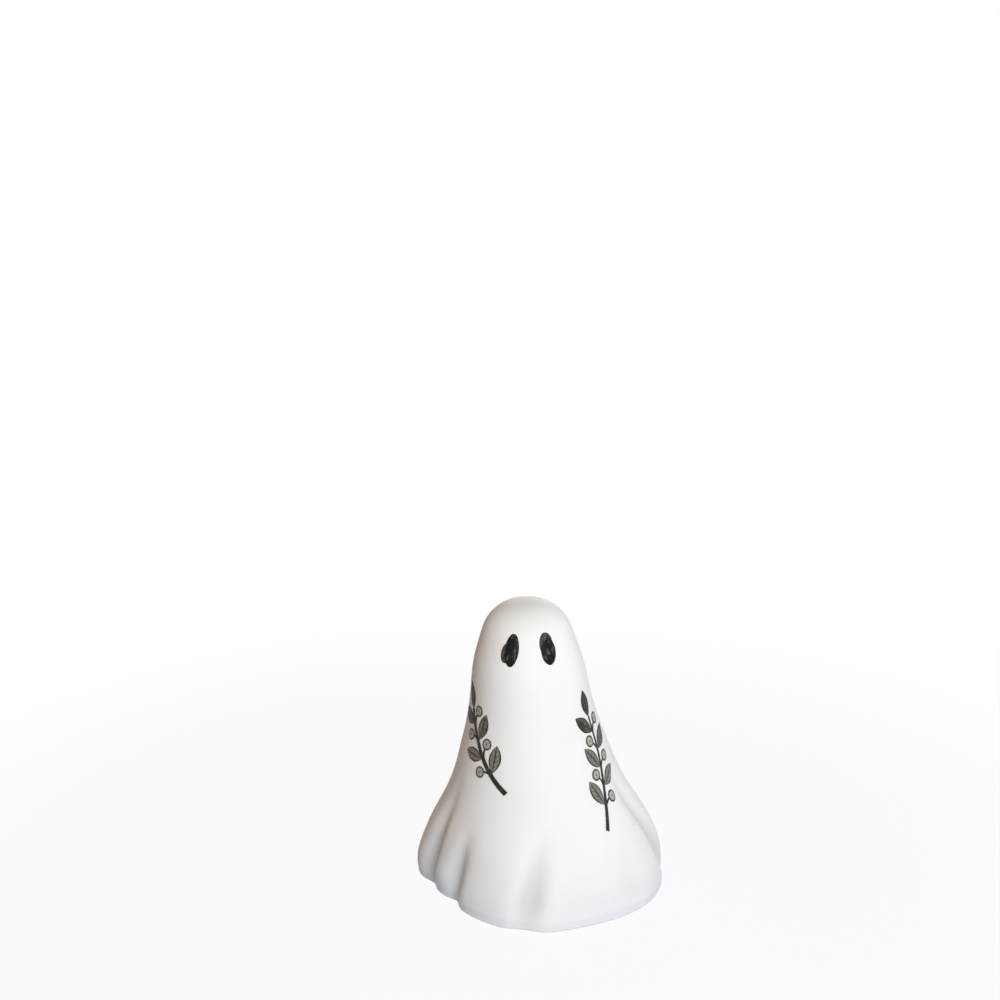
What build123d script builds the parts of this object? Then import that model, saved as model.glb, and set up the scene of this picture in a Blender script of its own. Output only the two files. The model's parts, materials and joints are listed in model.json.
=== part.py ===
from build123d import *
import math
import os
from collections import namedtuple

# Ceramic ghost figure: a hollow slip-cast shell like a draped sheet, open underneath,
# with two eyes of thick black glaze and a leafy spray in ink on either flank.
# Millimetres and degrees, +Z up. Azimuth 0 is the front, -Y, and grows towards +X.
# Left and right are as seen from the front.

# Silhouette of the figure, as radius and height
HEIGHT = 100.0
FOOT_RADIUS = 39.6
HEM_OVERHANG, HEM_HEIGHT = 0.7, 0.7
BELL_RADIUS, BELL_HEIGHT = 40.7, 5.0
SKIRT_RADIUS, SKIRT_HEIGHT = 37.5, 18.0
KNEE_RADIUS, KNEE_HEIGHT = 28.2, 38.0
WAIST_RADIUS, WAIST_HEIGHT = 24.5, 50.0
CHEST_RADIUS, CHEST_HEIGHT = 21.2, 62.0
HEAD_RADIUS, HEAD_DROP = 16.8, 16.0
BROW_RADIUS, BROW_DROP = 10.5, 3.4
CROWN_FLAT_RADIUS = 1.0

# Wall, the flat foot that it stands on, and the mouth inside, which flares down to the foot
WALL = 4.0
FOOT_WIDTH = 2.8
MOUTH_FLARE, MOUTH_HEIGHT = 0.7, 1.6

# The skirt is a little wider than deep, and the head leans to the left of the foot
SKIRT_SPREAD, SPREAD_TOP = 1.2, 55.0
BODY_LEAN, BODY_LEAN_START, BODY_LEAN_END = 2.6, 12.0, 72.0
HEAD_LEAN, HEAD_LEAN_START, HEAD_LEAN_END = 1.9, 50.0, 95.0

# Draping: azimuth at the hem and at the fold's upper end, depth, half width in degrees and the upper
# end's height. Depths and heights are shares of HEIGHT. A negative depth swells outwards.
Fold = namedtuple("Fold", "hem_azimuth top_azimuth depth half_width top")
SWEEPS = [
    Fold(-60, -52, 0.045, 21, 0.44),
    Fold(-27, -25, 0.010, 12, 0.26),
    Fold(28, 26, 0.019, 13, 0.26),
    Fold(99, 90, -0.015, 11, 0.62),
    Fold(-96, -92, -0.019, 9, 0.36),
]
CREASES = [
    Fold(-57, -40, 0.043, 3.9, 0.40),
    Fold(-81, -66, 0.038, 3.7, 0.44),
    Fold(-9, 5, 0.033, 5.2, 0.42),
    Fold(13, 19, 0.008, 5, 0.50),
    Fold(49, 44, 0.012, 7, 0.36),
    Fold(92, 62, 0.036, 4.4, 0.56),
    Fold(118, 112, 0.030, 9, 0.42),
    Fold(152, 150, 0.036, 11, 0.46),
    Fold(-170, -172, 0.026, 9, 0.40),
    Fold(-135, -138, 0.036, 10, 0.46),
    Fold(-112, -106, 0.026, 8, 0.48),
]
# Creases soften again in the thick edge of the hem
CREASE_SHARE_AT_HEM = 0.35
CREASE_FULL_HEIGHT = 12.0

# How finely the drape is followed: rings along the outline, close together below BODY_START
BODY_START, BODY_RINGS = 4.5, 16
HEM_RING_SHARES = (0.0, 0.16, 0.33, 0.58)
RING_POINTS = 120
SEAM_AZIMUTH, FULL_TURN = -180.0, 360.0

# Eyes: azimuth and distance below the crown, and brush dabs in shares of EYE_HEIGHT with a tilt
Dab = namedtuple("Dab", "across up width height tilt")
EYE_HEIGHT, EYE_BUILD = 10.0, 0.35
LEFT_EYE_AZIMUTH, LEFT_EYE_DROP = -21.0, 12.5
LEFT_EYE_DABS = [Dab(0.03, 0.01, 0.48, 1.03, -2), Dab(-0.14, -0.09, 0.38, 0.64, -10)]
RIGHT_EYE_AZIMUTH, RIGHT_EYE_DROP = 24.0, 12.0
RIGHT_EYE_DABS = [Dab(0.025, -0.09, 0.52, 0.82, 0), Dab(-0.025, 0.13, 0.48, 0.74, -2)]

# Sprays: a bowed stem on each flank, drawn flat as seen square to the flank, in shares of HEIGHT
Spray = namedtuple("Spray", "azimuth foot tip bow stations first_leaf_side")
LEFT_SPRAY = Spray(-52, (0.124, 0.42), (-0.07, 0.65), 0.02, (0.24, 0.44, 0.64, 0.83), -1)
RIGHT_SPRAY = Spray(54, (-0.065, 0.285), (0.01, 0.63), -0.03, (0.2, 0.37, 0.53, 0.69, 0.85), 1)
INK_BUILD = 0.2
STEM_WIDTH = 1.2
STALK_WIDTH, STALK_LENGTH, STALK_BOW = 0.8, 5.0, 0.6
STALK_ANGLE = 42.0
LEAF_LENGTH, LEAF_WIDTH = 9.0, 4.4
LEAF_ANGLE = 46.0
BERRY_DIAMETER = 3.8

# Drawings are laid on from this far out, and a fired layer starts just clear of the casting
STAND_OFF = 60.0
SEAT_GAP = 0.05


def eased(share):
    """A smooth step from 0 to 1."""
    share = min(max(share, 0.0), 1.0)
    return share * share * (3 - 2 * share)


def centre_x(height):
    """Sideways place of the body's middle at a height."""
    body = eased((height - BODY_LEAN_START) / (BODY_LEAN_END - BODY_LEAN_START))
    head = eased((height - HEAD_LEAN_START) / (HEAD_LEAN_END - HEAD_LEAN_START))
    return -BODY_LEAN * body - HEAD_LEAN * head


def fold_depth(fold, azimuth, height):
    """How far one fold draws the surface in at an azimuth and height."""
    climb = min(height / (HEIGHT * fold.top), 1.0)
    middle = fold.hem_azimuth + (fold.top_azimuth - fold.hem_azimuth) * climb
    away = math.remainder(azimuth - middle, FULL_TURN)
    return HEIGHT * fold.depth * eased(1 - climb) * math.exp(-0.5 * (away / fold.half_width) ** 2)


def drape(azimuth, height):
    """How far the cloth stands out from the round silhouette."""
    spread = -SKIRT_SPREAD * eased(1 - height / SPREAD_TOP) * math.cos(math.radians(2 * azimuth))
    softening = CREASE_SHARE_AT_HEM + (1 - CREASE_SHARE_AT_HEM) * eased(height / CREASE_FULL_HEIGHT)
    swept = sum(fold_depth(fold, azimuth, height) for fold in SWEEPS)
    creased = sum(fold_depth(fold, azimuth, height) for fold in CREASES)
    return spread - swept - softening * creased


def silhouette():
    """The figure's outline from the right foot over the crown to the left foot."""
    right = [
        (FOOT_RADIUS, 0),
        (FOOT_RADIUS + HEM_OVERHANG, HEM_HEIGHT),
        (BELL_RADIUS, BELL_HEIGHT),
        (SKIRT_RADIUS, SKIRT_HEIGHT),
        (KNEE_RADIUS, KNEE_HEIGHT),
        (WAIST_RADIUS, WAIST_HEIGHT),
        (CHEST_RADIUS, CHEST_HEIGHT),
        (HEAD_RADIUS, HEIGHT - HEAD_DROP),
        (BROW_RADIUS, HEIGHT - BROW_DROP),
    ]
    left = [(-radius, height) for radius, height in reversed(right)]
    return Spline(*right, (0, HEIGHT), *left)


def ring(radius, height, drape_height):
    """One closed line around the body, draped as the cloth is at drape_height."""
    points = []
    for step in range(RING_POINTS):
        azimuth = SEAM_AZIMUTH + FULL_TURN * step / RING_POINTS
        reach = radius + drape(azimuth, drape_height)
        turn = math.radians(azimuth)
        points.append((centre_x(drape_height) + reach * math.sin(turn), -reach * math.cos(turn), height))
    even = [step / RING_POINTS for step in range(RING_POINTS + 1)]
    return Wire([Edge.make_spline(points, periodic=True, parameters=even)])


def rings_along(lengths, offset):
    """Rings at lengths along the outline, moved out from it by offset."""
    outline = silhouette()
    rings = []
    for length in lengths:
        place, way = outline @ (length / outline.length), outline % (length / outline.length)
        rings.append(ring(place.X + offset * way.Y, place.Y - offset * way.X, place.Y))
    return rings


def body_lengths():
    """Even steps along the outline from just above the hem to the flat on the crown."""
    end = silhouette().length / 2 - CROWN_FLAT_RADIUS
    return [BODY_START + (end - BODY_START) * step / (BODY_RINGS - 1) for step in range(BODY_RINGS)]


def draped_body(offset):
    """The draped form as a solid, with its surface moved out by offset."""
    hem_lengths = [BODY_START * share for share in HEM_RING_SHARES]
    return Solid.make_loft(rings_along([*hem_lengths, *body_lengths()], offset))


def cavity():
    """The hollow inside, open downwards through a flared mouth."""
    mouth_radius = FOOT_RADIUS - FOOT_WIDTH
    mouth = [
        ring(mouth_radius + MOUTH_FLARE, -MOUTH_HEIGHT, 0),
        ring(mouth_radius, 0, 0),
        ring(mouth_radius - MOUTH_FLARE, MOUTH_HEIGHT, MOUTH_HEIGHT),
    ]
    return Solid.make_loft([*mouth, *rings_along(body_lengths(), -WALL)])


def flank_plane(azimuth, height):
    """A drawing plane outside the body, facing it square on, with its middle at the given height."""
    turn = math.radians(azimuth)
    outward = Vector(math.sin(turn), -math.cos(turn), 0)
    origin = Vector(centre_x(height), 0, height) + outward * STAND_OFF
    return Plane(origin=origin, x_dir=(math.cos(turn), math.sin(turn), 0), z_dir=outward)


def laid_on(drawing, plane, seat, skin):
    """The drawing as a layer on the near side of the body, from its seat out to its skin."""
    shadow = extrude(plane * drawing, -STAND_OFF)
    return (shadow & skin) - seat


def eye_drawing(dabs):
    """An eye as its overlapping brush dabs."""
    drawing = Sketch()
    for dab in dabs:
        stroke = Ellipse(EYE_HEIGHT * dab.width / 2, EYE_HEIGHT * dab.height / 2)
        drawing += Pos(EYE_HEIGHT * dab.across, EYE_HEIGHT * dab.up) * Rot(Z=dab.tilt) * stroke
    return drawing


def point_from(start, degrees, distance):
    """The point a distance away from start, in a direction in the drawing."""
    turn = math.radians(degrees)
    return start + Vector(math.cos(turn), math.sin(turn)) * distance


def heading(line, share):
    """The direction of a line at a share of its length, in degrees."""
    along = line % share
    return math.degrees(math.atan2(along.Y, along.X))


def leaf(foot, degrees):
    """An almond leaf from its foot along a direction."""
    tip = point_from(foot, degrees, LEAF_LENGTH)
    return make_face([SagittaArc(foot, tip, LEAF_WIDTH / 2), SagittaArc(tip, foot, LEAF_WIDTH / 2)])


def spray_drawings(spray):
    """The stems, leaves and berries of one spray, side by side: a leaf faces a berry at each station."""
    stem = SagittaArc(Vector(spray.foot) * HEIGHT, Vector(spray.tip) * HEIGHT, spray.bow * HEIGHT)
    stems = Sketch() + SlotArc(stem, STEM_WIDTH)
    leaves = Sketch() + leaf(stem @ 1, heading(stem, 1))
    berries = Sketch()
    edge = STEM_WIDTH / 2 / math.sin(math.radians(LEAF_ANGLE))
    side = spray.first_leaf_side
    for station in spray.stations:
        place, along = stem @ station, heading(stem, station)
        leaf_way, stalk_way = along + side * LEAF_ANGLE, along - side * STALK_ANGLE
        leaves += leaf(point_from(place, leaf_way, edge), leaf_way)
        stalk_end = point_from(place, stalk_way, STALK_LENGTH)
        stems += SlotArc(SagittaArc(place, stalk_end, side * STALK_BOW), STALK_WIDTH)
        berries += Pos(stalk_end) * Circle(BERRY_DIAMETER / 2)
        side = -side
    stems -= berries
    return stems, leaves - stems - berries, berries


os.makedirs("parts", exist_ok=True)
seat = draped_body(SEAT_GAP)
glaze_skin = draped_body(EYE_BUILD)
ink_skin = draped_body(INK_BUILD)

nodes = {"ghost_shell": Part() + draped_body(0) - cavity()}
left_face = flank_plane(LEFT_EYE_AZIMUTH, HEIGHT - LEFT_EYE_DROP)
right_face = flank_plane(RIGHT_EYE_AZIMUTH, HEIGHT - RIGHT_EYE_DROP)
nodes["left_eye"] = laid_on(eye_drawing(LEFT_EYE_DABS), left_face, seat, glaze_skin)
nodes["right_eye"] = laid_on(eye_drawing(RIGHT_EYE_DABS), right_face, seat, glaze_skin)
for name, spray in (("left_spray", LEFT_SPRAY), ("right_spray", RIGHT_SPRAY)):
    flank = flank_plane(spray.azimuth, 0)
    for kind, drawing in zip(("stems", "leaves", "berries"), spray_drawings(spray)):
        nodes[f"{name}_{kind}"] = laid_on(drawing, flank, seat, ink_skin)

for name, node in nodes.items():
    export_step(node, f"parts/{name}.step")
    print(name, node.bounding_box().min, node.bounding_box().max, round(node.volume, 1))
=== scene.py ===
# %% [markdown]
# This lesson dresses a small ceramic ghost for its picture. The figure is one hollow casting, like
# a sheet draped over a round head, with two eyes of black glaze and a leafy spray in ink on each
# flank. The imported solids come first, because every piece that we model has to sit where they are.

# %% Load the solids as a fixed frame
import json
import math
from collections import namedtuple

import bmesh
import bpy
from mathutils import Euler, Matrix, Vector
from mathutils.bvhtree import BVHTree

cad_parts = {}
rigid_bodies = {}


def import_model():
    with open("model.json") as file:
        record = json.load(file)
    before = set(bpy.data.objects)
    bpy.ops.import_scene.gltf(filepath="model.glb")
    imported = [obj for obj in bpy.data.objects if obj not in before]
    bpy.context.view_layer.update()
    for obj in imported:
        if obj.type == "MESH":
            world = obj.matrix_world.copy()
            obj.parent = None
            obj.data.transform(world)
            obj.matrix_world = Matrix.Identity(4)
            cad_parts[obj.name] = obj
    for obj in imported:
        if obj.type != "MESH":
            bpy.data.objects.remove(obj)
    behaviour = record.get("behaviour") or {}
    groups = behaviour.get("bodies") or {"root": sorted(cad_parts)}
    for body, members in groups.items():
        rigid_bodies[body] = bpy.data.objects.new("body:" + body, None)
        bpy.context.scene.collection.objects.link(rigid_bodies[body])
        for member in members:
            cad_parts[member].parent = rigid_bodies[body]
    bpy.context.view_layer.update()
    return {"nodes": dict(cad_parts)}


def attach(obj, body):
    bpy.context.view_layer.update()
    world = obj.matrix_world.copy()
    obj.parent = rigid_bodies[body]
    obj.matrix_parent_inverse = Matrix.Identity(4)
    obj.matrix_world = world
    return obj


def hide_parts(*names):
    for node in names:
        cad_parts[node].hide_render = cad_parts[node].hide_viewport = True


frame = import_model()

MM = 0.001


def in_mm(lengths):
    """Lengths in metres as rounded millimetres, to print."""
    return [round(length / MM, 1) for length in lengths]


print("nodes:", ", ".join(sorted(frame["nodes"])))

# %% [markdown]
# A camera comes before any modelling, so that each piece can be judged from the right place. Its
# lens of 60 mm on a sensor of 36 mm looks slightly down on the ghost, which stands low and right of
# the middle.

# %% Place the camera
LENS, SENSOR = 60.0, 36.0
CAMERA_PLACE = Vector((-13.4, -519.0, 276.0)) * MM
CAMERA_PITCH = math.radians(15.32)


def place_camera():
    """A camera at the height and tilt that the picture was taken from."""
    data = bpy.data.cameras.new("camera")
    data.lens, data.sensor_width = LENS, SENSOR
    camera = bpy.data.objects.new("camera", data)
    camera.location = CAMERA_PLACE
    camera.rotation_euler = Euler((math.radians(90) - CAMERA_PITCH, 0, 0))
    bpy.context.scene.collection.objects.link(camera)
    bpy.context.scene.camera = camera
    return camera


camera = place_camera()
print("camera at", in_mm(camera.location), "mm")

# %% [markdown]
# Real cloth hangs in a few broad sweeps and several narrow creases, and the caster copied both. We
# could sculpt them, but a list is easier to repeat: each fold is a soft groove that starts at the
# hem, wanders a little sideways on its way up, and fades out at its top. Azimuth 0 is the front
# and grows to the right. Azimuths and widths are in degrees, depths and heights in millimetres,
# and a negative depth swells the cloth outwards. The last sweep only tucks the hem in at the front
# left.

# %% List the folds
Fold = namedtuple("Fold", "hem_azimuth top_azimuth depth half_width top")
SWEEPS = [
    Fold(-60, -52, 4.5, 21, 44),
    Fold(-27, -25, 1.0, 12, 26),
    Fold(28, 26, 1.9, 13, 26),
    Fold(99, 90, -1.5, 11, 62),
    Fold(-96, -92, -1.8, 9, 36),
    Fold(-70, -70, 1.6, 20, 9),
]
CREASES = [
    Fold(-57, -44, 4.6, 4.1, 32),
    Fold(-81, -66, 3.9, 3.9, 44),
    Fold(-9, 5, 3.3, 5.4, 42),
    Fold(13, 19, 0.8, 5, 50),
    Fold(49, 44, 1.2, 7, 36),
    Fold(92, 62, 3.6, 4.4, 56),
    Fold(118, 112, 3.0, 9, 42),
    Fold(152, 150, 3.6, 11, 46),
    Fold(-170, -172, 2.6, 9, 40),
    Fold(-135, -138, 3.6, 10, 46),
    Fold(-112, -106, 2.6, 8, 48),
]
print(len(SWEEPS), "sweeps and", len(CREASES), "creases")

# %% [markdown]
# A groove falls off to both sides as a bell curve does, and the creases soften again in the thick
# edge of the hem. The skirt also spreads a little to both sides, and the body leans to the left,
# the head most of all.

# %% Turn the folds into a drape
CREASE_SHARE_AT_HEM, CREASE_FULL_HEIGHT = 0.42, 10.0
SKIRT_SPREAD, SPREAD_TOP = 1.2, 55.0
BODY_LEAN, BODY_LEAN_START, BODY_LEAN_END = 2.6, 12.0, 72.0
HEAD_LEAN, HEAD_LEAN_START, HEAD_LEAN_END = 1.9, 50.0, 95.0


def eased(share):
    """A smooth step from 0 to 1."""
    share = min(max(share, 0.0), 1.0)
    return share * share * (3 - 2 * share)


def centre_x(height):
    """Sideways place of the body's middle at a height, both in millimetres."""
    body = eased((height - BODY_LEAN_START) / (BODY_LEAN_END - BODY_LEAN_START))
    head = eased((height - HEAD_LEAN_START) / (HEAD_LEAN_END - HEAD_LEAN_START))
    return -BODY_LEAN * body - HEAD_LEAN * head


def fold_depth(fold, azimuth, height):
    """How far one fold draws the cloth in."""
    climb = min(max(height / fold.top, 0.0), 1.0)
    middle = fold.hem_azimuth + (fold.top_azimuth - fold.hem_azimuth) * climb
    away = (azimuth - middle + 180) % 360 - 180
    return fold.depth * eased(1 - climb) * math.exp(-0.5 * (away / fold.half_width) ** 2)


def crease_depth(azimuth, height):
    """How far the narrow creases draw the cloth in, less so at the hem."""
    rise = eased(height / CREASE_FULL_HEIGHT)
    share = CREASE_SHARE_AT_HEM + (1 - CREASE_SHARE_AT_HEM) * rise
    return share * sum(fold_depth(fold, azimuth, height) for fold in CREASES)


def drape(azimuth, height):
    """How far the cloth stands out from the round outline."""
    sideways = math.cos(math.radians(2 * azimuth))
    spread = -SKIRT_SPREAD * eased(1 - height / SPREAD_TOP) * sideways
    swept = sum(fold_depth(fold, azimuth, height) for fold in SWEEPS)
    return spread - swept - crease_depth(azimuth, height)


deepest = min(drape(azimuth, CREASE_FULL_HEIGHT) for azimuth in range(-180, 180, 3))
print("deepest draw just above the hem:", round(deepest, 1), "mm")

# %% [markdown]
# The outline of one side is a smooth curve through a few heights. A Bezier curve with automatic
# handles passes through all of them, and turning it into a mesh gives a chain of edges to spin.

# %% Draw the outline of one side
OUTLINE = [
    (40.6, 0.8),
    (40.8, 4.0),
    (37.5, 18.0),
    (28.2, 38.0),
    (24.5, 50.0),
    (21.2, 62.0),
    (16.8, 84.0),
    (10.5, 96.6),
    (0.0, 99.9),
]
CROWN_HANDLE = 3.8
POINTS_A_SPAN = 13


def outline_chain():
    """A bmesh with one chain of edges from the hem to the crown, in the plane of X and Z."""
    curve = bpy.data.curves.new("outline", "CURVE")
    curve.dimensions = "3D"
    curve.resolution_u = POINTS_A_SPAN
    spline = curve.splines.new("BEZIER")
    spline.bezier_points.add(len(OUTLINE) - 1)
    for point, (radius, height) in zip(spline.bezier_points, OUTLINE):
        point.co = Vector((radius, 0, height)) * MM
        point.handle_left_type = point.handle_right_type = "AUTO"
    holder = bpy.data.objects.new("outline", curve)
    bpy.context.scene.collection.objects.link(holder)
    bpy.context.view_layer.update()
    crown = spline.bezier_points[-1]
    crown.handle_left_type = crown.handle_right_type = "FREE"
    crown.handle_left = crown.co + Vector((CROWN_HANDLE * MM, 0, 0))
    chain = bpy.data.meshes.new_from_object(holder)
    bm = bmesh.new()
    bm.from_mesh(chain)
    bpy.data.objects.remove(holder)
    bpy.data.curves.remove(curve)
    bpy.data.meshes.remove(chain)
    return bm


shell = outline_chain()
print("outline chain:", len(shell.verts), "points")

# %% [markdown]
# Spinning the chain makes a smooth bell, and the drape then moves each point in or out and shifts
# it sideways with the lean. The edge is first carried straight down past the floor, so that the
# hem can be cut dead flat later.

# %% Spin and drape the cloth
SPIN_STEPS = 216
BELOW_FLOOR = Vector((40.3, 0, -4.5)) * MM
MERGE = 0.01 * MM


def spin_cloth(bm):
    """Turns the chain into one closed sheet around the axis."""
    bm.verts.ensure_lookup_table()
    lowest = min(bm.verts, key=lambda vert: vert.co.z)
    carried = bmesh.ops.extrude_vert_indiv(bm, verts=[lowest])["verts"][0]
    carried.co = BELOW_FLOOR
    bmesh.ops.spin(bm, geom=bm.verts[:] + bm.edges[:], cent=(0, 0, 0), axis=(0, 0, 1),
                   angle=math.tau, steps=SPIN_STEPS, use_merge=True)
    bmesh.ops.remove_doubles(bm, verts=bm.verts[:], dist=MERGE)
    bmesh.ops.recalc_face_normals(bm, faces=bm.faces[:])


def drape_cloth(bm):
    """Hangs the sheet in its folds. The crown's point, on the axis, only leans."""
    for vert in bm.verts:
        height = vert.co.z / MM
        radius = math.hypot(vert.co.x, vert.co.y) / MM
        turn = math.atan2(vert.co.x, -vert.co.y)
        reach = radius + drape(math.degrees(turn), height) if radius else 0.0
        vert.co.x = (centre_x(height) + reach * math.sin(turn)) * MM
        vert.co.y = -reach * math.cos(turn) * MM


spin_cloth(shell)
drape_cloth(shell)
print("draped sheet:", len(shell.faces), "faces")

# %% [markdown]
# Slip casting leaves a wall of even thickness, which is what the solidify operator makes. Cutting
# the wall at the floor, bridging the two cut loops and bevelling both gives the flat foot with its
# soft edges. The inside and the foot are bare clay, so they get the body's second material.

# %% Give it a wall, a flat foot and a soft hem
WALL = 4.0 * MM
HEM_ROUND, HEM_SEGMENTS = 0.5 * MM, 4
BARE = 1


def cast_wall(bm):
    """Thickens the sheet inwards, cuts it at the floor and rounds the hem."""
    made = bmesh.ops.solidify(bm, geom=bm.faces[:], thickness=WALL)["geom"]
    for item in made:
        if isinstance(item, bmesh.types.BMFace):
            item.material_index = BARE
    bmesh.ops.bisect_plane(bm, geom=bm.verts[:] + bm.edges[:] + bm.faces[:], plane_co=(0, 0, 0),
                           plane_no=(0, 0, 1), clear_inner=True)
    loops = [edge for edge in bm.edges if edge.is_boundary]
    for face in bmesh.ops.bridge_loops(bm, edges=loops)["faces"]:
        face.material_index = BARE
    bmesh.ops.bevel(bm, geom=loops, offset=HEM_ROUND, offset_type="OFFSET", affect="EDGES",
                    segments=HEM_SEGMENTS, profile=0.5, material=-1)
    bmesh.ops.recalc_face_normals(bm, faces=bm.faces[:])


cast_wall(shell)
open_edges = sum(edge.is_boundary for edge in shell.edges)
print("cast wall:", len(shell.faces), "faces, open edges:", open_edges)

# %% [markdown]
# A shader is easier to read as arithmetic than as a web of nodes. This small class wraps one
# socket, so that plus, minus and times each add a Math node, and one method adds any other node.

# %% Write shader maths as Python
class Socket:
    """A shader socket that Python's operators work on."""

    def __init__(self, socket):
        self.socket = socket

    def node(self, kind, settings=None, inputs=None, output=0):
        """Adds a node of any kind to this socket's tree and gives one of its outputs."""
        tree = self.socket.id_data
        added = tree.nodes.new(kind)
        for name, value in (settings or {}).items():
            setattr(added, name, value)
        for name, value in (inputs or {}).items():
            if isinstance(value, Socket):
                tree.links.new(value.socket, added.inputs[name])
            else:
                added.inputs[name].default_value = value
        return Socket(added.outputs[output])

    def math(self, operation, *terms):
        """Adds a Math node that works on one or two terms."""
        return self.node("ShaderNodeMath", {"operation": operation}, dict(enumerate(terms)))

    def __add__(self, other):
        return self.math("ADD", self, other)

    def __sub__(self, other):
        return self.math("SUBTRACT", self, other)

    def __rsub__(self, other):
        return self.math("SUBTRACT", other, self)

    def __mul__(self, other):
        return self.math("MULTIPLY", self, other)

    def __abs__(self):
        return self.math("ABSOLUTE", self)

    __radd__ = __add__
    __rmul__ = __mul__


print("shader maths: plus, minus and times, from either side")

# %% [markdown]
# The same few nodes come up again and again, so each gets a short name here. The Mix node keeps
# its colour sockets behind those for numbers, which is why they are counted out.

# %% Name the nodes that the finishes use
MIX_FACTOR, MIX_FIRST, MIX_SECOND, MIX_RESULT = 0, 6, 7, 2


def step(value, low, high):
    """A soft step: 0 below low, 1 above high, and the other way round if low is the larger."""
    return value.node("ShaderNodeMapRange", {"interpolation_type": "SMOOTHSTEP"},
                      {"Value": value, "From Min": low, "From Max": high})


def blend(factor, first, second):
    """A colour between two, as far along as factor."""
    return factor.node("ShaderNodeMix", {"data_type": "RGBA"},
                       {MIX_FACTOR: factor, MIX_FIRST: first, MIX_SECOND: second}, MIX_RESULT)


def noise(place, per_metre, detail=2.0, roughness=0.5):
    """A cloudy value from 0 to 1, with about so many clouds a metre."""
    return place.node("ShaderNodeTexNoise", {}, {"Vector": place, "Scale": per_metre,
                                                 "Detail": detail, "Roughness": roughness})


def sway(value, amount):
    """A cloudy value moved to lie about zero, amount wide."""
    return (value - 0.5) * amount


def larger(first, second):
    """The larger of two values."""
    return first.math("MAXIMUM", first, second)


def stored(place, name):
    """A number that the mesh stores at each point."""
    return place.node("ShaderNodeAttribute", {"attribute_name": name}, {}, "Fac")


def part_of(vector, axis):
    """One of a vector's three numbers."""
    return vector.node("ShaderNodeSeparateXYZ", {}, {"Vector": vector}, axis)


def bump(height, distance):
    """A normal from a height from 0 to 1, where 1 is distance metres up."""
    return height.node("ShaderNodeBump", {}, {"Height": height, "Distance": distance})


print("a step, a blend, noise and a bump are ready")

# %% [markdown]
# A material starts from Blender's own main shader. Numbers that are the same all over are set on
# its sockets, and values that change over the surface are linked to them.

# %% Start and finish a material
def colour(red, green, blue):
    """An opaque colour."""
    return (red, green, blue, 1.0)


def new_material(name, constants):
    """A material, its main shader with constant sockets set, and its object coordinates."""
    material = bpy.data.materials.new(name)
    material.use_nodes = True
    shader = material.node_tree.nodes["Principled BSDF"]
    for socket_name, value in constants.items():
        shader.inputs[socket_name].default_value = value
    coordinates = material.node_tree.nodes.new("ShaderNodeTexCoord")
    return material, shader, Socket(coordinates.outputs["Object"])


def feed(shader, values):
    """Links finished values to the shader's sockets."""
    for socket_name, value in values.items():
        shader.id_data.links.new(value.socket, shader.inputs[socket_name])


print("materials so far:", [material.name for material in bpy.data.materials])

# %% [markdown]
# The white is a satin glaze. Thick glaze is cool and very white. The creases are greyed a little as
# painted shade, and there the glaze also shines a little more, as pooled glaze does. In loose cloudy
# patches the glaze thins and lets the warm clay through. A soft orange-peel ripple and a wiped line
# above the foot are what a hand sees close up. How deep each crease is, the mesh tells the material
# through an attribute.

# %% Mix the white glaze
THICK_GLAZE = colour(0.86, 0.862, 0.865)
THIN_GLAZE = colour(0.845, 0.832, 0.80)
# painted shade: the grey that the creases are tinted towards
CREASE_SHADE_GREY = colour(0.68, 0.685, 0.67)
CLAY = colour(0.70, 0.665, 0.61)
CREASE_ATTRIBUTE = "crease"
CLOUDS, SWELLS, RIPPLES, GRAINS = 55, 90, 420, 1400
WIPED_HEIGHT, WIPED_FADE, WIPED_WANDER = 0.35 * MM, 0.6, 0.4 * MM
THIN_EDGE, THIN_SHARE = (0.45, 0.75), 0.7
CREASE_SHADE_EDGE, CREASE_SHADE_SHARE = (0.1, 0.9), 0.8
SATIN, CLOUD_SATIN, GRAIN_SATIN = 0.48, 0.14, 0.06
POOL_SHINE, CLAY_DULLNESS, COAT = 0.08, 0.4, 0.01
RIPPLE_SHARE, GRAIN_SHARE, SWELL_SHARE = 0.7, 0.15, 1.6
GLAZE_RELIEF = 0.03 * MM


def white_glaze():
    """Satin white glaze with painted shade in the creases, where it also shines a little more."""
    material, shader, place = new_material(
        "white_glaze", {"Specular IOR Level": 0.05, "Coat Roughness": 0.3})
    cloud, grain = noise(place, CLOUDS, detail=3), noise(place, GRAINS)
    crease_pool_and_shade = stored(place, CREASE_ATTRIBUTE)
    height = part_of(place, "Z") + sway(cloud, WIPED_WANDER)
    bare = step(height, WIPED_HEIGHT, WIPED_HEIGHT * WIPED_FADE)
    thin = step(cloud, *THIN_EDGE) * (1 - crease_pool_and_shade)
    tint = blend(thin * THIN_SHARE, THICK_GLAZE, THIN_GLAZE)
    # painted shade: the deeper a crease, the greyer the glaze, for the shade that falls in it
    tint = blend(step(crease_pool_and_shade, *CREASE_SHADE_EDGE) * CREASE_SHADE_SHARE, tint, CREASE_SHADE_GREY)
    tint = blend(bare, tint, CLAY)
    satin = SATIN + sway(cloud, CLOUD_SATIN) + sway(grain, GRAIN_SATIN)
    satin = satin - crease_pool_and_shade * POOL_SHINE + bare * CLAY_DULLNESS
    ripple, swell = noise(place, RIPPLES, detail=1), noise(place, SWELLS, detail=1)
    relief = ripple * RIPPLE_SHARE + grain * GRAIN_SHARE + swell * SWELL_SHARE
    feed(shader, {"Base Color": tint, "Roughness": satin, "Coat Weight": (1 - bare) * COAT,
                  "Normal": bump(relief, GLAZE_RELIEF)})
    return material


glaze_finish = white_glaze()
print("glaze:", len(glaze_finish.node_tree.nodes), "nodes")

# %% [markdown]
# Inside and on the foot the clay is left bare. It is matt and a little blotchy, with a fine tooth.

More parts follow.
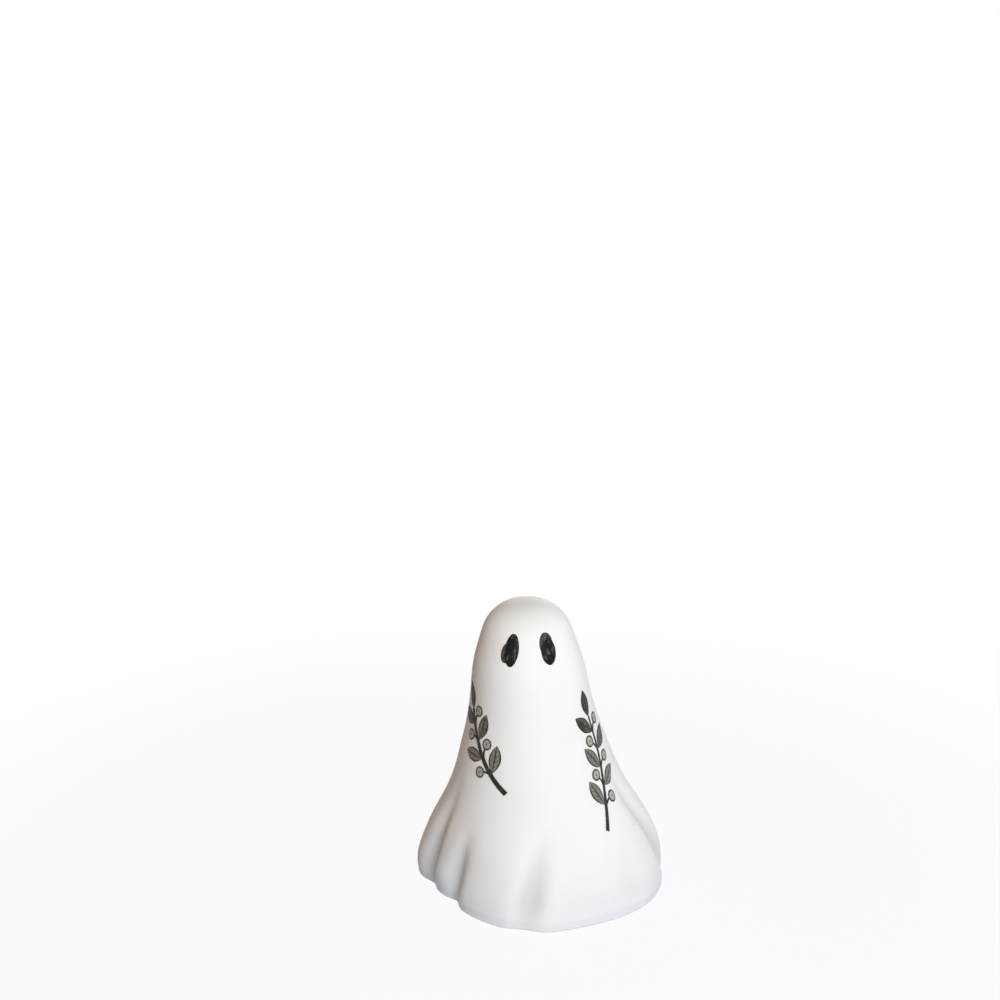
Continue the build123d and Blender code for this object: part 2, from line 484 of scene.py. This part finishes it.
# %% Mix the bare clay
CLAY_SHADE = colour(0.60, 0.565, 0.51)
CLAY_CLOUDS, CLAY_GRAINS = 70, 2600
SHADE_EDGE = (0.35, 0.7)
CLAY_MATT, CLAY_TOOTH = 0.78, 0.16
CLAY_RELIEF, CLAY_GRAIN_SHARE = 0.06 * MM, 0.5


def bare_clay():
    """Unglazed clay inside the casting and on its foot."""
    material, shader, place = new_material("bare_clay", {"Specular IOR Level": 0.3})
    cloud, grain = noise(place, CLAY_CLOUDS, detail=4), noise(place, CLAY_GRAINS, detail=3)
    tint = blend(step(cloud, *SHADE_EDGE), CLAY, CLAY_SHADE)
    feed(shader, {"Base Color": tint, "Roughness": CLAY_MATT + grain * CLAY_TOOTH,
                  "Normal": bump(grain * CLAY_GRAIN_SHARE + cloud, CLAY_RELIEF)})
    return material


clay_finish = bare_clay()
print("clay:", len(clay_finish.node_tree.nodes), "nodes")

# %% [markdown]
# The casting is ready to become an object. Before its bmesh is freed, we keep a search tree of its
# surface, because the eyes and sprays will be dropped on to it with rays.

# %% Make the body an object
BODY = "root"
CREASE_FULL_DEPTH = 3.0


def new_piece(name, bm, replaced, materials):
    """A smooth object that stands for a solid and rides on the body."""
    mesh = bpy.data.meshes.new(name)
    bm.to_mesh(mesh)
    bm.free()
    mesh.shade_smooth()
    for material in materials:
        mesh.materials.append(material)
    piece = bpy.data.objects.new(name, mesh)
    bpy.context.scene.collection.objects.link(piece)
    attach(piece, BODY)
    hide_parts(replaced)
    return piece


def mark_creases(bm):
    """Stores how deep in a crease each point lies, from 0 to 1."""
    layer = bm.verts.layers.float.new(CREASE_ATTRIBUTE)
    for vert in bm.verts:
        height = vert.co.z / MM
        azimuth = math.degrees(math.atan2(vert.co.x / MM - centre_x(height), -vert.co.y / MM))
        vert[layer] = min(crease_depth(azimuth, height) / CREASE_FULL_DEPTH, 1.0)


# the crease depth also sets how much painted shade greys the creases of the white glaze
mark_creases(shell)
surface = BVHTree.FromBMesh(shell)
ghost_body = new_piece("ghost_body", shell, "ghost_shell",
                       [glaze_finish, clay_finish])
print("body:", len(ghost_body.data.polygons), "faces, size in mm", in_mm(ghost_body.dimensions))

# %% [markdown]
# The eyes and sprays are drawn flat and then dropped on to the body, as a transfer is. A drawing
# lies square to one side of the figure, in millimetres: across, up, and a small height above the
# surface. Each of its points sends a ray straight in, and settles on the glaze where the ray
# lands.

# %% Lay flat drawings on the body
STAND_OFF = 60.0
LAYER = 0.3 * MM


def lay_on(bm, azimuth, height):
    """Drops a drawing on to the body, square on at an azimuth, with its zero at a height."""
    turn = math.radians(azimuth)
    across = Vector((math.cos(turn), math.sin(turn), 0))
    inward = Vector((-math.sin(turn), math.cos(turn), 0))
    origin = Vector((centre_x(height), 0, height)) - inward * STAND_OFF
    for vert in bm.verts:
        start = origin + across * vert.co.x + Vector((0, 0, vert.co.y))
        hit, normal, _, _ = surface.ray_cast(start * MM, inward)
        vert.co = hit + normal * (vert.co.z * MM)
    bmesh.ops.recalc_face_normals(bm, faces=bm.faces[:])


def back_layer(piece):
    """Gives a laid drawing its thickness, down into the glaze."""
    solidify = piece.modifiers.new("layer", "SOLIDIFY")
    solidify.thickness = LAYER
    solidify.offset = -1


print("ready to lay drawings from", STAND_OFF, "mm out")

# %% [markdown]
# Round marks are discs. One spoke of edges, spun a full turn about its inner end, gives a disc
# with rings of points, which can be pulled to another outline or domed later.

# %% Spin discs for round marks
DISC_MERGE = 1e-5


def add_disc(bm, rings, spokes):
    """Adds a flat disc of radius 1 at the origin and gives its vertices."""
    before = set(bm.verts)
    spoke = [bm.verts.new((ring / rings, 0, 0)) for ring in range(rings + 1)]
    edges = [bm.edges.new(pair) for pair in zip(spoke, spoke[1:])]
    bmesh.ops.spin(bm, geom=spoke + edges, cent=(0, 0, 0), axis=(0, 0, 1), angle=math.tau,
                   steps=spokes, use_merge=True)
    disc = [vert for vert in bm.verts if vert not in before]
    bmesh.ops.remove_doubles(bm, verts=disc, dist=DISC_MERGE)
    return [vert for vert in bm.verts if vert not in before]


print("discs are spun from one spoke")

# %% [markdown]
# The eyes are black glaze, greyer where the brush ran dry. The marks run up and down, as the brush
# did, so the noise is stretched that way.

# %% Mix the black glaze
BLACK = colour(0.006, 0.006, 0.007)
DRY_BRUSH = colour(0.095, 0.095, 0.10)
GREYER_DAB = colour(0.10, 0.10, 0.10)
SECOND_DAB_ATTRIBUTE = "second_dab"
BRUSH_STRETCH = (1.0, 1.0, 0.45)
BRUSH_MARKS, BRUSH_GRAINS = 800, 700
MARK_EDGE = (0.5, 0.72)
GREYER_SHARE, GREYER_IN_MARKS = 0.35, 0.5
BLACK_SATIN, DRY_DULLNESS = 0.45, 0.25
BRUSH_RELIEF = 0.05 * MM


def black_glaze():
    """Black glaze with the greyer marks that a dry brush leaves."""
    material, shader, place = new_material("black_glaze", {"Specular IOR Level": 0.1})
    stretched = place.node("ShaderNodeMapping", {}, {"Vector": place, "Scale": BRUSH_STRETCH})
    marks = step(noise(stretched, BRUSH_MARKS, detail=3, roughness=0.65), *MARK_EDGE)
    second = stored(place, SECOND_DAB_ATTRIBUTE)
    tint = blend(marks, BLACK, DRY_BRUSH)
    tint = blend(second * (GREYER_SHARE + marks * GREYER_IN_MARKS), tint, GREYER_DAB)
    feed(shader, {"Base Color": tint, "Roughness": BLACK_SATIN + marks * DRY_DULLNESS,
                  "Normal": bump(noise(stretched, BRUSH_GRAINS), BRUSH_RELIEF)})
    return material


eye_finish = black_glaze()
print("black glaze:", len(eye_finish.node_tree.nodes), "nodes")

# %% [markdown]
# Each eye is two thick brush dabs, and a dab is a tilted oval. What we need is the outline of both
# together, so we ask how far a ray from the eye's middle runs before it leaves the farther one.

# %% Describe the dabs of the eyes
Dab = namedtuple("Dab", "across up width height tilt")
LEFT_EYE_DABS = [Dab(0.3, 0.1, 4.8, 10.3, -2), Dab(-1.4, -0.9, 3.8, 6.4, -10)]
RIGHT_EYE_DABS = [Dab(0.25, -0.9, 5.2, 8.2, 0), Dab(-0.25, 1.3, 4.8, 7.4, -2)]


def dab_reach(dab, turn):
    """How far a ray from the eye's middle goes before it leaves a dab, or 0 if it misses."""
    tilt = math.radians(dab.tilt)
    sine, cosine = math.sin(tilt), math.cos(tilt)
    half_width, half_height = dab.width / 2, dab.height / 2
    ray = Vector((math.cos(turn - tilt) / half_width, math.sin(turn - tilt) / half_height))
    start = Vector(((-dab.across * cosine - dab.up * sine) / half_width,
                    (dab.across * sine - dab.up * cosine) / half_height))
    middle = ray.dot(start) / ray.dot(ray)
    inside = middle * middle - (start.dot(start) - 1) / ray.dot(ray)
    return max(0.0, math.sqrt(inside) - middle) if inside > 0 else 0.0


tops = [max(dab_reach(dab, math.pi / 2) for dab in dabs)
        for dabs in (LEFT_EYE_DABS, RIGHT_EYE_DABS)]
print("the eyes reach up", [round(top, 1) for top in tops], "mm from their middles")

# %% [markdown]
# A disc is pulled out to that outline and swells a little in the middle, as a pool of glaze does.
# The second dab came out a little greyer, so the disc stores where it shows. The place of an eye
# is an azimuth and a height.

# %% Brush on the eyes
LEFT_EYE = (-21.0, 87.5)
RIGHT_EYE = (24.0, 88.0)
EYE_BUILD, EYE_FLATNESS = 0.32, 4
EYE_RINGS, EYE_SPOKES = 9, 96
DAB_EDGE = 0.5


def brush_eye(name, dabs, azimuth, height):
    """One eye as a swelling disc with the outline of its dabs."""
    bm = bmesh.new()
    layer = bm.verts.layers.float.new(SECOND_DAB_ATTRIBUTE)
    for vert in add_disc(bm, EYE_RINGS, EYE_SPOKES):
        share, turn = vert.co.length, math.atan2(vert.co.y, vert.co.x)
        reach = share * max(dab_reach(dab, turn) for dab in dabs)
        vert[layer] = eased((reach - dab_reach(dabs[0], turn)) / DAB_EDGE + 0.5)
        swell = EYE_BUILD * math.sqrt(max(0.0, 1 - share ** EYE_FLATNESS))
        vert.co = Vector((math.cos(turn) * reach, math.sin(turn) * reach, swell))
    lay_on(bm, azimuth, height)
    piece = new_piece(name + "_glaze", bm, name, [eye_finish])
    back_layer(piece)
    return piece


left_eye = brush_eye("left_eye", LEFT_EYE_DABS, *LEFT_EYE)
right_eye = brush_eye("right_eye", RIGHT_EYE_DABS, *RIGHT_EYE)
print("eyes in mm:", [in_mm(eye.dimensions) for eye in (left_eye, right_eye)])

# %% [markdown]
# Every line and leaf of a spray is a strip: a grid bent along a path, as wide at each place as the
# stroke there. The grid brings its own UV map, which says how far along and how far across the
# stroke a point is, and the inks use it for outlines and veins.

# %% Draw strips and leaves
LEAF_LENGTH, LEAF_WIDTH, LEAF_TIP = 9.0, 4.4, 0.1
INK_BUILD, INK_DOME = 0.14, 0.5


def bowed(start, end, bow):
    """A path from start to end that bows out to its left, by the share along it."""
    start, end = Vector(start), Vector(end)
    chord = end - start
    left = Vector((-chord.y, chord.x)).normalized()

    def path(share):
        place = start + chord * share + left * (4 * bow * share * (1 - share))
        way = chord + left * (4 * bow * (1 - 2 * share))
        return place, way.normalized()

    return path


def add_strip(bm, path, half_width, along, across):
    """Bends a new grid of along by across faces to a path, half_width(share) to each side."""
    grid = bmesh.ops.create_grid(bm, x_segments=along, y_segments=across, size=1.0,
                                 calc_uvs=True)["verts"]
    for vert in grid:
        share, aside = (vert.co.x + 1) / 2, vert.co.y
        place, way = path(share)
        left = Vector((-way.y, way.x))
        spot = place + left * (aside * half_width(share))
        vert.co = Vector((spot.x, spot.y, INK_BUILD * (1 - INK_DOME * aside * aside)))
    return grid


def almond(share):
    """Half a leaf's width by the share along it. The ends stay a hair wide, so no face folds."""
    return LEAF_TIP / 2 + (LEAF_WIDTH - LEAF_TIP) / 2 * (1 - (2 * share - 1) ** 2)


print("a leaf is", round(2 * almond(0.5), 2), "mm wide and", LEAF_LENGTH, "mm long")

# %% [markdown]
# A spray grows from its foot: at each station on the stem a leaf stands to one side and a berry on
# a short stalk to the other, turn about, and one last leaf carries the stem on. We only note the
# paths here. The strokes follow when the inks are mixed.

# %% Lay out a spray
Spray = namedtuple("Spray", "azimuth foot tip bow stations first_leaf_side")
LEFT_SPRAY = Spray(-52, (12.4, 42), (-7, 65), 2.0, (0.24, 0.44, 0.64, 0.83), -1)
RIGHT_SPRAY = Spray(54, (-6.5, 28.5), (1, 63), -3.0, (0.2, 0.37, 0.53, 0.69, 0.85), 1)
STEM_WIDTH = 1.2
LEAF_ANGLE = 46.0
STALK_LENGTH, STALK_BOW, STALK_ANGLE = 5.0, 0.6, 42.0


def turned(way, degrees):
    """A direction turned to its left."""
    turn = math.radians(degrees)
    sine, cosine = math.sin(turn), math.cos(turn)
    return Vector((way.x * cosine - way.y * sine, way.x * sine + way.y * cosine))


def spray_paths(spray):
    """The paths of a stem, of its leaves with the share of the stem at each, and of its stalks."""
    stem = bowed(spray.foot, spray.tip, spray.bow)
    tip, way = stem(1)
    leaves = [(1.0, bowed(tip, tip + way * LEAF_LENGTH, 0))]
    stalks = []
    edge = STEM_WIDTH / 2 / math.sin(math.radians(LEAF_ANGLE))
    side = spray.first_leaf_side
    for station in spray.stations:
        place, way = stem(station)
        leaf_way = turned(way, side * LEAF_ANGLE)
        stalk_way = turned(way, -side * STALK_ANGLE)
        foot = place + leaf_way * edge
        leaves.append((station, bowed(foot, foot + leaf_way * LEAF_LENGTH, 0)))
        stalks.append(bowed(place, place + stalk_way * STALK_LENGTH, side * STALK_BOW))
        side = -side
    return stem, leaves, stalks


print("leaves a spray:", [len(spray_paths(spray)[1]) for spray in (LEFT_SPRAY, RIGHT_SPRAY)])

# %% [markdown]
# The inks were printed in three strengths. The strongest, for stems and stalks, is nearly black
# and breaks up a little. All three are satin, with the slight tooth that firing leaves.

# %% Mix the line ink
LINE_INK = colour(0.028, 0.023, 0.017)
WORN_INK = colour(0.12, 0.108, 0.088)
INK_TEETH, INK_TOOTH = 1800, 0.02 * MM
INK_SATIN, TOOTH_DULLNESS = 0.42, 0.2
WORN_PATCHES, WORN_EDGE, WORN_SHARE = 900, (0.52, 0.72), 0.9


def ink_material(name):
    """Starts the material of a fired ink, which shines only a little."""
    return new_material(name, {"Specular IOR Level": 0.12})


def fired_ink(shader, place, tint):
    """Finishes an ink with the slight tooth that it has after firing."""
    tooth = noise(place, INK_TEETH)
    feed(shader, {"Base Color": tint, "Roughness": INK_SATIN + tooth * TOOTH_DULLNESS,
                  "Normal": bump(tooth, INK_TOOTH)})


def line_ink():
    """Near black ink for stems and stalks, worn in places."""
    material, shader, place = ink_material("dark_ink")
    worn = step(noise(place, WORN_PATCHES, detail=3, roughness=0.6), *WORN_EDGE)
    fired_ink(shader, place, blend(worn * WORN_SHARE, LINE_INK, WORN_INK))
    return material


line_finish = line_ink()
print("ink:", line_finish.name)

# %% [markdown]
# Leaf ink is a grey wash inside a dark outline, with a midrib and side veins. Leaves nearer the
# tip are washed darker, which the mesh tells through an attribute.

# %% Mix the leaf ink
LIGHT_WASH = colour(0.225, 0.215, 0.185)
DARK_WASH = colour(0.034, 0.029, 0.022)
STROKE_MAP, TONE_ATTRIBUTE = "stroke", "tone"
OUTLINE_EDGE, MIDRIB_EDGE, VEIN_EDGE = (0.66, 0.82), (0.17, 0.09), (0.72, 0.92)
VEINS_A_LEAF, VEIN_LEAN, VEIN_STRENGTH = 5.5, 1.2, 0.75
WOBBLES, WOBBLE = 800, 0.25
WASH_PATCHES, WASH_SWAY, WASH_EDGE = 500, 0.7, (0.45, 0.95)
LEAF_LINE_SHARE = 0.92


def leaf_ink():
    """A grey wash with a dark outline, a midrib and side veins."""
    material, shader, place = ink_material("grey_ink")
    stroke = place.node("ShaderNodeUVMap", {"uv_map": STROKE_MAP})
    along, aside = part_of(stroke, "X"), abs(part_of(stroke, "Y") - 0.5) * 2
    wobble = sway(noise(place, WOBBLES), WOBBLE)
    outline = step(aside + wobble, *OUTLINE_EDGE)
    midrib = step(aside, *MIDRIB_EDGE)
    lean = along * VEINS_A_LEAF - aside * VEIN_LEAN + wobble
    ridge = abs(lean.math("FRACT", lean) - 0.5) * 2
    veins = step(ridge, *VEIN_EDGE) * VEIN_STRENGTH
    drawn = larger(outline, larger(midrib, veins))
    tone = stored(place, TONE_ATTRIBUTE) + sway(noise(place, WASH_PATCHES, detail=3), WASH_SWAY)
    wash = blend(step(tone, *WASH_EDGE), LIGHT_WASH, DARK_WASH)
    fired_ink(shader, place, blend(drawn * LEAF_LINE_SHARE, wash, LINE_INK))
    return material


leaf_finish = leaf_ink()
print("ink:", leaf_finish.name)

# %% [markdown]
# Berry ink is only a dark ring round a pale middle, with a small dark navel and a few strokes. How
# far from its middle a point of a berry lies, the mesh tells through an attribute.

# %% Mix the berry ink
BERRY_WASH = colour(0.43, 0.42, 0.375)
RIM_ATTRIBUTE = "rim"
RING_EDGE, NAVEL_EDGE, STROKE_EDGE = (0.62, 0.76), (0.26, 0.14), (0.56, 0.66)
NAVEL_STRENGTH, STROKE_STRENGTH, BERRY_LINE_SHARE = 0.8, 0.5, 0.9
RIM_WOBBLES, RIM_WOBBLE, BERRY_STROKES = 900, 0.3, 1500


def berry_ink():
    """A pale middle in a dark ring, with a small dark navel."""
    material, shader, place = ink_material("pale_ink")
    rim = stored(place, RIM_ATTRIBUTE) + sway(noise(place, RIM_WOBBLES), RIM_WOBBLE)
    ring = step(rim, *RING_EDGE)
    navel = step(rim, *NAVEL_EDGE) * NAVEL_STRENGTH
    strokes = step(noise(place, BERRY_STROKES), *STROKE_EDGE) * STROKE_STRENGTH
    drawn = larger(ring, larger(navel, strokes))
    fired_ink(shader, place, blend(drawn * BERRY_LINE_SHARE, BERRY_WASH, LINE_INK))
    return material


berry_finish = berry_ink()
print("ink:", berry_finish.name)

# %% [markdown]
# Each spray becomes three pieces, one for each ink, because that is how the transfer was printed.
# All three are drawn flat in millimetres and then laid on the same flank.

# %% Draw the stems and leaves
STALK_WIDTH = 0.8
STEM_TAPER, STALK_TAPER = (1.15, 0.8), (1.0, 0.75)
STEM_STEPS, STALK_STEPS, LINE_ACROSS = 40, 12, 4
LEAF_STEPS, LEAF_ACROSS = 16, 10


def new_drawing():
    """An empty drawing with a UV map for its strokes."""
    bm = bmesh.new()
    bm.loops.layers.uv.new(STROKE_MAP)
    return bm


def tapered(width, start_share, end_share):
    """A stroke's half width that changes evenly from its start to its end."""
    return lambda share: width / 2 * (start_share + (end_share - start_share) * share)


def draw_stems(stem, stalks):
    """The stem, thinner towards its tip, and the berry stalks."""
    bm = new_drawing()
    add_strip(bm, stem, tapered(STEM_WIDTH, *STEM_TAPER), STEM_STEPS, LINE_ACROSS)
    for stalk in stalks:
        add_strip(bm, stalk, tapered(STALK_WIDTH, *STALK_TAPER), STALK_STEPS, LINE_ACROSS)
    return bm


def draw_leaves(leaves):
    """The leaves, with their tone from the place where they grow."""
    bm = new_drawing()
    layer = bm.verts.layers.float.new(TONE_ATTRIBUTE)
    for station, path in leaves:
        for vert in add_strip(bm, path, almond, LEAF_STEPS, LEAF_ACROSS):
            vert[layer] = station
    return bm


print("a stem is", STEM_WIDTH, "mm wide, a stalk", STALK_WIDTH, "mm")

# %% [markdown]
# Berries are discs, domed as the strokes are but standing a little higher. Each point keeps its
# distance from the middle for the ink before it is moved to the end of a stalk.

# %% Draw the berries
BERRY_DIAMETER, BERRY_SWELL = 3.8, 1.2
BERRY_RINGS, BERRY_SPOKES = 6, 32


def draw_berries(stalks):
    """A berry on the end of each stalk."""
    bm = new_drawing()
    layer = bm.verts.layers.float.new(RIM_ATTRIBUTE)
    for stalk in stalks:
        middle, _ = stalk(1)
        for vert in add_disc(bm, BERRY_RINGS, BERRY_SPOKES):
            vert[layer] = vert.co.length
            swell = INK_BUILD * (BERRY_SWELL - INK_DOME * vert.co.length_squared)
            vert.co = Vector((middle.x, middle.y, swell)) + vert.co * (BERRY_DIAMETER / 2)
    return bm


print("a berry is", BERRY_DIAMETER, "mm across")

# %% [markdown]
# Now both sprays are drawn, laid on their flanks and backed with a thin layer, so that each is a
# closed form that stands a little proud of the glaze.

# %% Lay the sprays on the flanks
def lay_spray(side, spray):
    """The three pieces of one spray."""
    stem, leaves, stalks = spray_paths(spray)
    drawings = [
        ("stems", draw_stems(stem, stalks), "dark_ink", line_finish),
        ("leaves", draw_leaves(leaves), "grey_ink", leaf_finish),
        ("berries", draw_berries(stalks), "pale_ink", berry_finish),
    ]
    pieces = []
    for kind, bm, slot, finish in drawings:
        name = f"{side}_spray_{kind}"
        lay_on(bm, spray.azimuth, 0)
        pieces.append(new_piece(name + "_ink", bm, name, [finish]))
        back_layer(pieces[-1])
    return pieces


for side, spray in (("left", LEFT_SPRAY), ("right", RIGHT_SPRAY)):
    made = lay_spray(side, spray)
    print(side, "spray:", [len(piece.data.polygons) for piece in made], "faces")

# %% [markdown]
# The stand-in studio has a white surround. For rays that draw the picture it shows plain white,
# while the light that it throws on the ghost stays dim and a little warm, so that the lamps can
# model the folds.

# %% Build the room
ROOM_LIGHT = colour(1.0, 0.88, 0.72)
ROOM_STRENGTH = 0.05
WHITE = colour(1.0, 1.0, 1.0)


def picture_rays(tree):
    """1 for rays that draw the picture: from the camera, by a shine, or through a clear piece."""
    rays = tree.nodes.new("ShaderNodeLightPath")
    kinds = ("Camera", "Glossy", "Transmission")
    seen, shine, clear = (Socket(rays.outputs[f"Is {kind} Ray"]) for kind in kinds)
    return seen + shine + clear


def white_where_seen(tree, factor, plain, output):
    """Mixes a plain shader with a white glow and links the mix to the tree's output."""
    glow = factor.node("ShaderNodeEmission", {}, {"Color": WHITE, "Strength": 1.0})
    mixed = factor.node("ShaderNodeMixShader", {}, {0: factor, 1: plain, 2: glow})
    tree.links.new(mixed.socket, output)


def build_room():
    """A dim, warm surround that shows as white."""
    world = bpy.data.worlds.new("room")
    world.use_nodes = True
    tree = world.node_tree
    plain = tree.nodes["Background"]
    plain.inputs["Color"].default_value = ROOM_LIGHT
    plain.inputs["Strength"].default_value = ROOM_STRENGTH
    output = tree.nodes["World Output"].inputs["Surface"]
    white_where_seen(tree, picture_rays(tree), Socket(plain.outputs[0]), output)
    bpy.context.scene.world = world
    return world


room = build_room()
bpy.context.scene.view_settings.view_transform = "Standard"
print("surround:", room.name)

# %% [markdown]
# The floor is pale paper that runs out of sight. It is cool in front and brown on the left, and so
# tints the shade there. Close to the ghost it keeps a part of its own shading, so that the ghost
# still has a shadow to stand on.

# %% Lay the floor
FLOOR_REACH = 4.0
FLOOR_TINT = colour(0.42, 0.49, 0.66)
DIM_FLOOR_TINT = colour(0.09, 0.06, 0.04)
DIM_SIDE = (-0.045, -0.10)
NEAR_WHITENESS = 0.94
SHADE_REACH = (0.10, 0.32)
PAPER_FIBRES, PAPER_MATT, FIBRE_MATT = 400, 0.75, 0.2


def floor_paper():
    """Paper that shows white, but for a part of its shading close to the ghost."""
    material, shader, place = new_material("floor_paper", {})
    tint = blend(step(part_of(place, "X"), *DIM_SIDE), FLOOR_TINT, DIM_FLOOR_TINT)
    matt = PAPER_MATT + noise(place, PAPER_FIBRES) * FIBRE_MATT
    feed(shader, {"Base Color": tint, "Roughness": matt})
    tree = material.node_tree
    output = tree.nodes["Material Output"].inputs["Surface"]
    out = place.node("ShaderNodeVectorMath", {"operation": "LENGTH"}, {"Vector": place}, "Value")
    whiteness = NEAR_WHITENESS + step(out, *SHADE_REACH) * (1 - NEAR_WHITENESS)
    white_where_seen(tree, picture_rays(tree) * whiteness, Socket(shader.outputs[0]), output)
    return material


def build_floor():
    """A wide floor at the height of the foot."""
    bm = bmesh.new()
    bmesh.ops.create_grid(bm, x_segments=2, y_segments=2, size=FLOOR_REACH)
    mesh = bpy.data.meshes.new("floor")
    bm.to_mesh(mesh)
    bm.free()
    mesh.materials.append(floor_paper())
    floor = bpy.data.objects.new("floor", mesh)
    bpy.context.scene.collection.objects.link(floor)
    return floor


floor = build_floor()
print("floor:", [round(size, 1) for size in floor.dimensions], "m")

# %% [markdown]
# A soft lamp stands in front, so that the face is bright and the folds to the left show their
# shade. A wider one behind the right shoulder keeps that edge light, a warm one behind the left
# shoulder browns the shade there, and a plain one at the back lets us see the folds that the
# picture hides. A lamp's azimuth, elevation and distance are taken from the middle of the ghost.
# Distances and sizes are in metres and powers in watts.

# %% Hang the lamps
Lamp = namedtuple("Lamp", "name azimuth elevation distance size power tint")
LAMPS = [
    Lamp("key_lamp", 10, 30, 0.55, 0.24, 2.78, (1.0, 0.985, 0.955)),
    Lamp("side_lamp", 112, 15, 1.2, 0.6, 5.2, (0.97, 0.985, 1.0)),
    Lamp("warm_lamp", -112, 15, 1.2, 0.6, 2.0, (1.0, 0.60, 0.28)),
    Lamp("back_lamp", 178, 15, 1.2, 0.6, 4.6, (1.0, 0.98, 0.95)),
]
AIM = Vector((0, 0, 0.045))


def hang_lamp(lamp):
    """A square soft lamp that looks at the middle of the ghost."""
    data = bpy.data.lights.new(lamp.name, "AREA")
    data.size, data.energy, data.color = lamp.size, lamp.power, lamp.tint
    hung = bpy.data.objects.new(lamp.name, data)
    turn, rise = math.radians(lamp.azimuth), math.radians(lamp.elevation)
    level = math.cos(rise)
    away = Vector((math.sin(turn) * level, -math.cos(turn) * level, math.sin(rise)))
    hung.location = AIM + away * lamp.distance
    hung.rotation_euler = away.to_track_quat("Z", "Y").to_euler()
    bpy.context.scene.collection.objects.link(hung)


for lamp in LAMPS:
    hang_lamp(lamp)
print("lamps:", [(lamp.name, lamp.power) for lamp in LAMPS])

# %% [markdown]
# Last, the view layer is brought up to date.

# %% Update the view layer and finish
bpy.context.view_layer.update()
